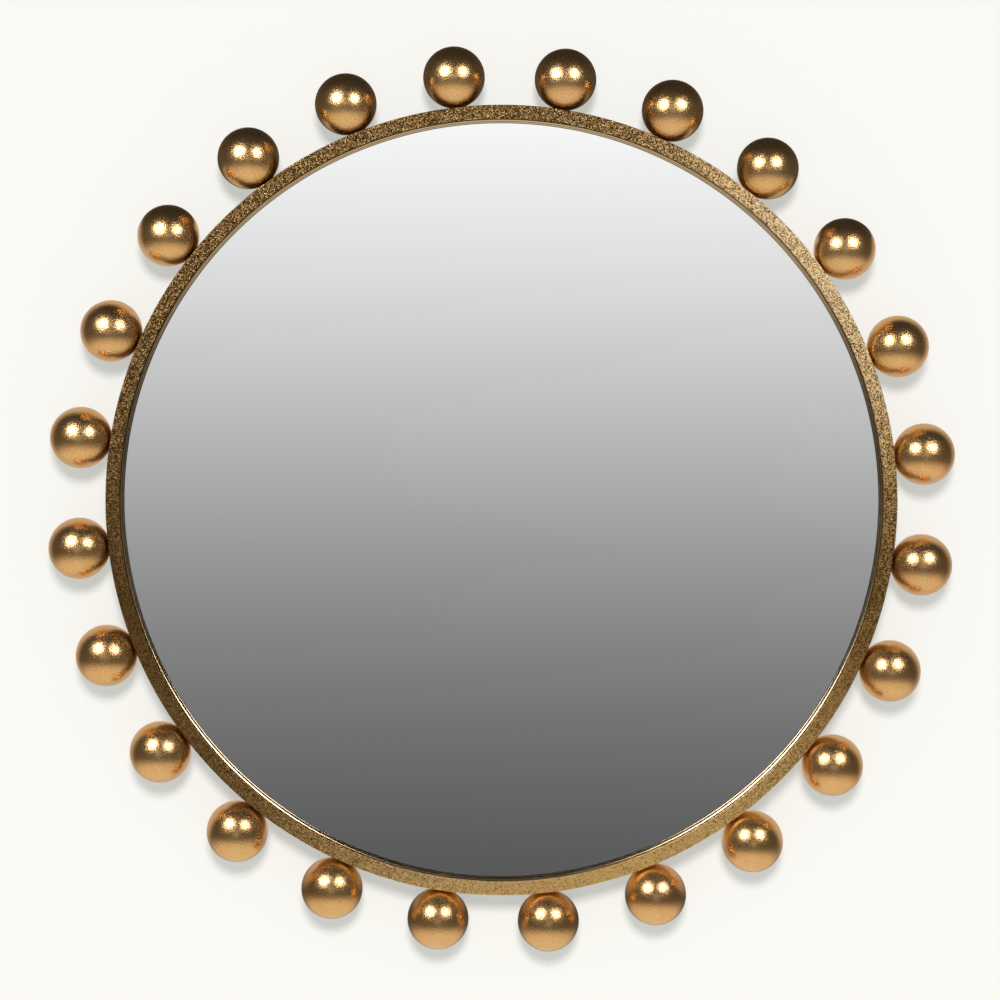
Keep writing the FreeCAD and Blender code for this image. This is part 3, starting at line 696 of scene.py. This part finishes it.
# ---------------------------------------------------------------- glazing tape
# Thin tape of black closed-cell foam, stuck round behind the bead strip. The glass beds on it, so
# nothing rattles and the silvering isn't scratched.
def closed_foam():
    """Dull black foam with the pits of its cut cells."""
    foam = Finish(bpy.data.materials.new("foam_tape"))
    pits = foam.cells(foam.spot(), scale=2600.0, out="Distance")
    return foam.principled({
        "Base Color": foam.mix(pits, (0.012, 0.012, 0.012), (0.035, 0.034, 0.033)),
        "Roughness": 0.9,
        "Normal": foam.bump(pits, strength=0.5, distance=0.0003),
    })


dress("glazing_tape", closed_foam())


# ---------------------------------------------------------------- mirror glass
# A 4 mm float-glass disc, silvered, cut 6 mm smaller all round than the wall and centred by its
# packers. Only its silver face is seen, so it is finished as one bright, faintly green-grey mirror.
def silvering():
    """Bright silver behind clear glass, with the slightest haze."""
    silver = Finish(bpy.data.materials.new("mirror_glass"))
    haze = silver.noise(silver.spot(), scale=9.0, detail=2.0)
    return silver.principled({
        "Base Color": silver.mix(haze, (0.955, 0.962, 0.96), (0.945, 0.952, 0.95)),
        "Metallic": 1.0,
        "Roughness": haze * 0.012,
    })


dress("mirror_glass", silvering())


# ---------------------------------------------------------------- edge packers
# Eight blocks of black rubber, cut from strip. They are pressed in between the wall and the edges of
# the glass and the board, and keep both in the middle.
def cut_rubber():
    """Black rubber with dust in its pores."""
    rubber = Finish(bpy.data.materials.new("packer_rubber"))
    dust = rubber.noise(rubber.spot(), scale=220.0, detail=4.0)
    return rubber.principled({
        "Base Color": rubber.mix(dust, (0.016, 0.016, 0.017), (0.060, 0.058, 0.054)),
        "Roughness": 0.55 + dust * 0.3,
        "Normal": rubber.bump(dust, strength=0.3, distance=0.0003),
    })


dress("edge_packers", cut_rubber())


# ---------------------------------------------------------------- backboard
# A 6 mm fibreboard disc that closes the case behind the glass: pressed brown fibre with fine flecks,
# a calendered face and a sawn edge.
FIBRE_TONES = [
    (0.34, (0.150, 0.082, 0.040)), (0.50, (0.300, 0.185, 0.100)), (0.66, (0.440, 0.300, 0.180)),
]
FLECK_TONE = (0.070, 0.038, 0.018)
FIBRE_TURNS = (0.6, -0.9)


def pressed_fibre():
    """Two layers of long fibres laid across each other, over a cloudy ground, with dark flecks."""
    fibre = Finish(bpy.data.materials.new("fibreboard"))
    spot = fibre.spot()
    turned, crossed = (
        fibre.node(
            "ShaderNodeMapping", {},
            {"Vector": spot, "Rotation": (0.0, turn, 0.0), "Scale": (1.0, 1.0, 5.0)},
        )
        for turn in FIBRE_TURNS
    )
    one_way = fibre.noise(turned, scale=170.0, detail=4.0, roughness=0.7)
    other_way = fibre.noise(crossed, scale=210.0, detail=4.0, roughness=0.7)
    cloud = fibre.noise(spot, scale=7.0, detail=3.0)
    mat = one_way * 0.5 + other_way * 0.5
    tone = fibre.ramp(mat * 0.8 + cloud * 0.2, FIBRE_TONES)
    fleck = fibre.cells(turned, scale=120.0, out="Distance")
    tone = fibre.mix(fibre.ramp(fleck, [(0.06, 0.7), (0.14, 0.0)]), tone, FLECK_TONE)
    return fibre.principled({
        "Base Color": tone,
        "Roughness": 0.62 + mat * 0.2,
        "Normal": fibre.bump(mat, strength=0.35, distance=0.0005),
    })


dress("backboard", pressed_fibre())


# ---------------------------------------------------------------- retaining tabs
# Eight strips of galvanised steel, spot-welded inside the wall. Once the board is in, they are bent
# over its back by hand.
galvanised = plated("tab_steel", (0.66, 0.67, 0.68), (0.40, 0.41, 0.43), roughness=0.30, spangle=260.0)
dress("retaining_tabs", galvanised)


# ---------------------------------------------------------------- hangers
# Left and right on the back: a strip curled into an eye and fixed by two countersunk screws, with a
# welded D-ring of 3 mm wire that swings in the eye. Strips and D-rings are nickel plated. The screws
# keep the plain steel that comes with the frame.
nickel = plated("hanger_steel", (0.78, 0.76, 0.71), (0.55, 0.53, 0.48), roughness=0.18, spangle=700.0)
for side in ("left", "right"):
    dress(f"hanger_strap_{side}", nickel)
    dress(f"hanger_ring_{side}", nickel)
